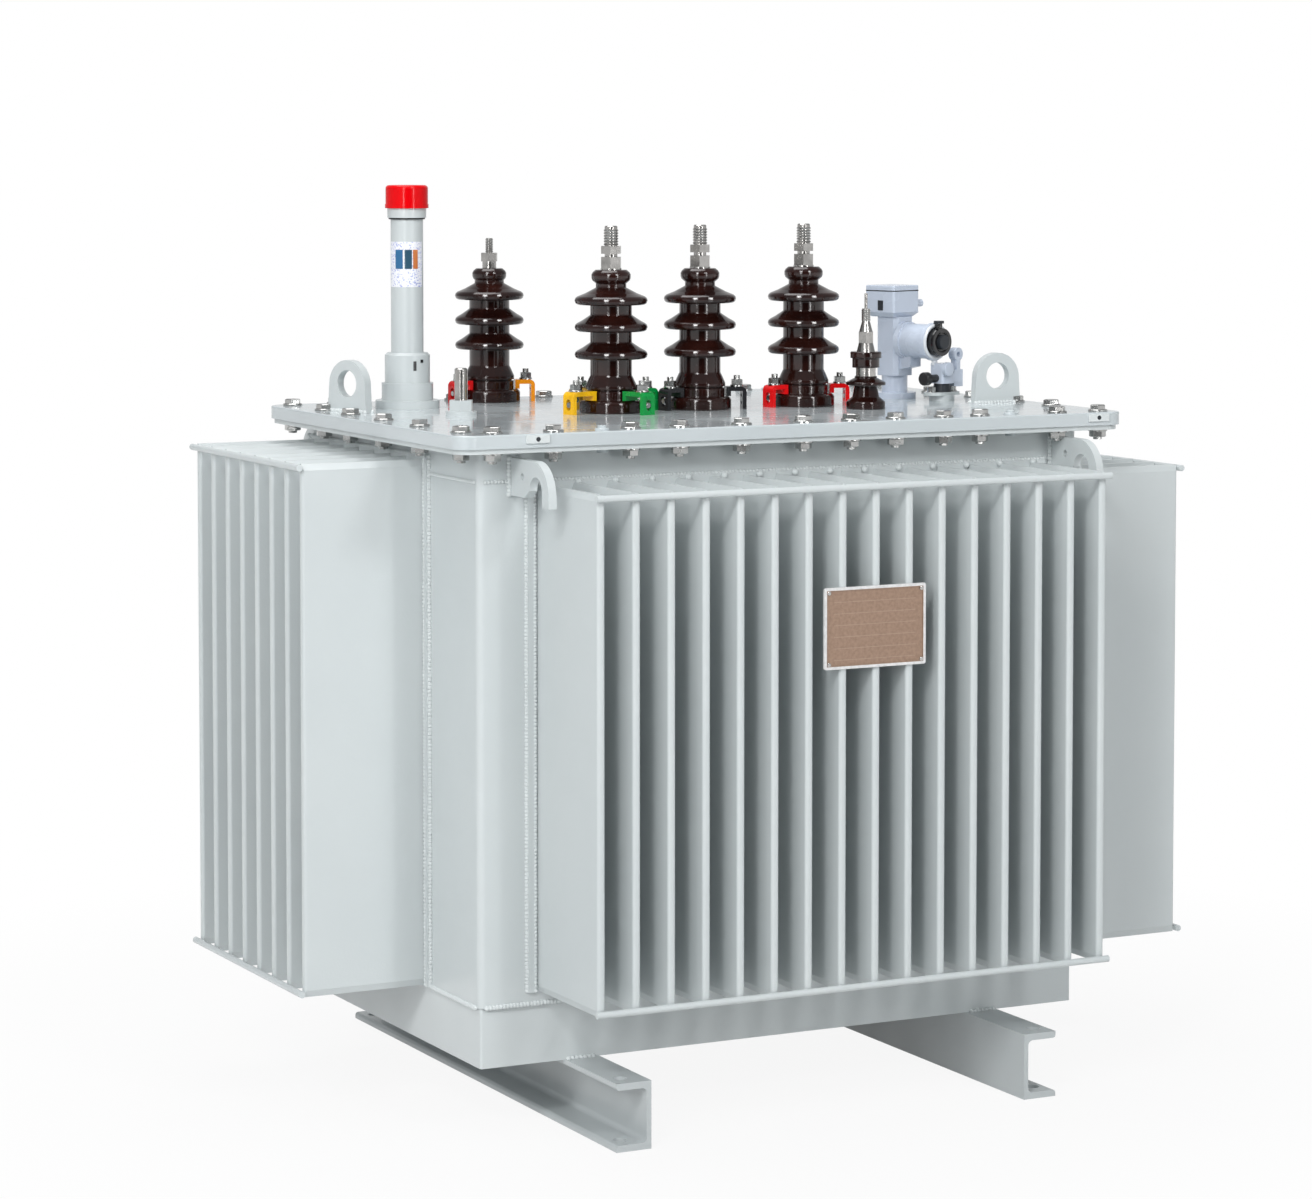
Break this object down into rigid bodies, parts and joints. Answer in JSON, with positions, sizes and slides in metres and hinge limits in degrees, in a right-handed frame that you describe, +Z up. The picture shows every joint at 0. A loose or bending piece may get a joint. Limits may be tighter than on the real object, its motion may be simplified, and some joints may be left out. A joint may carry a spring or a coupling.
{
  "type": "power transformer",
  "caption": "Oil filled power transformer with a corrugated tank, flat lid, glazed bushings, a protection relay and two channel skids.",
  "frame": {"origin": "on the floor under the middle of the tank", "axes": "+X along the tank's long side, towards the relay, +Y towards the back, +Z up"},
  "size_m": [1.1544, 0.8544, 1.107],
  "materials": {
    "grey_paint": "gloss",
    "porcelain": "gloss",
    "clamp_paint": "gloss",
    "red_cap": "gloss",
    "relay_paint": "satin",
    "black_knob": "matte",
    "plate_metal": "satin",
    "plated_steel": "satin"
  },
  "bodies": {
    "root": {"base_box": "grey_paint", "corrugated_wall_back": "grey_paint", "corrugated_wall_front": "grey_paint", "corrugated_wall_left": "grey_paint", "corrugated_wall_right": "grey_paint", "fin_rods_back": "grey_paint", "fin_rods_front": "grey_paint", "fin_rods_left": "grey_paint", "fin_rods_right": "grey_paint", "gauge_base": "grey_paint", "gauge_cap": "red_cap", "gauge_tube": "grey_paint", "lid": "grey_paint", "lifting_eye_left": "grey_paint", "lifting_eye_right": "grey_paint", "nameplate": "plate_metal", "neutral_bushing": "porcelain", "neutral_clamps": "clamp_paint", "neutral_terminal": "plated_steel", "phase_bushing_1": "porcelain", "phase_bushing_2": "porcelain", "phase_bushing_3": "porcelain", "phase_clamps_1": "clamp_paint", "phase_clamps_2": "clamp_paint", "phase_clamps_3": "clamp_paint", "phase_terminal_1": "plated_steel", "phase_terminal_2": "plated_steel", "phase_terminal_3": "plated_steel", "relay_box": "relay_paint", "relay_column": "relay_paint", "relay_dial": "black_knob", "relay_gauge": "relay_paint", "rim_flange": "grey_paint", "skid_left": "grey_paint", "skid_right": "grey_paint", "small_bushing": "porcelain", "small_terminal": "plated_steel", "tank_hooks_back": "grey_paint", "tank_hooks_front": "grey_paint", "tank_wall": "grey_paint", "tap_changer_base": "relay_paint", "tap_changer_body": "relay_paint", "tap_changer_knob": "black_knob", "thermometer_boss": "grey_paint", "thermometer_pocket": "plated_steel"}
  },
  "joints": []
}
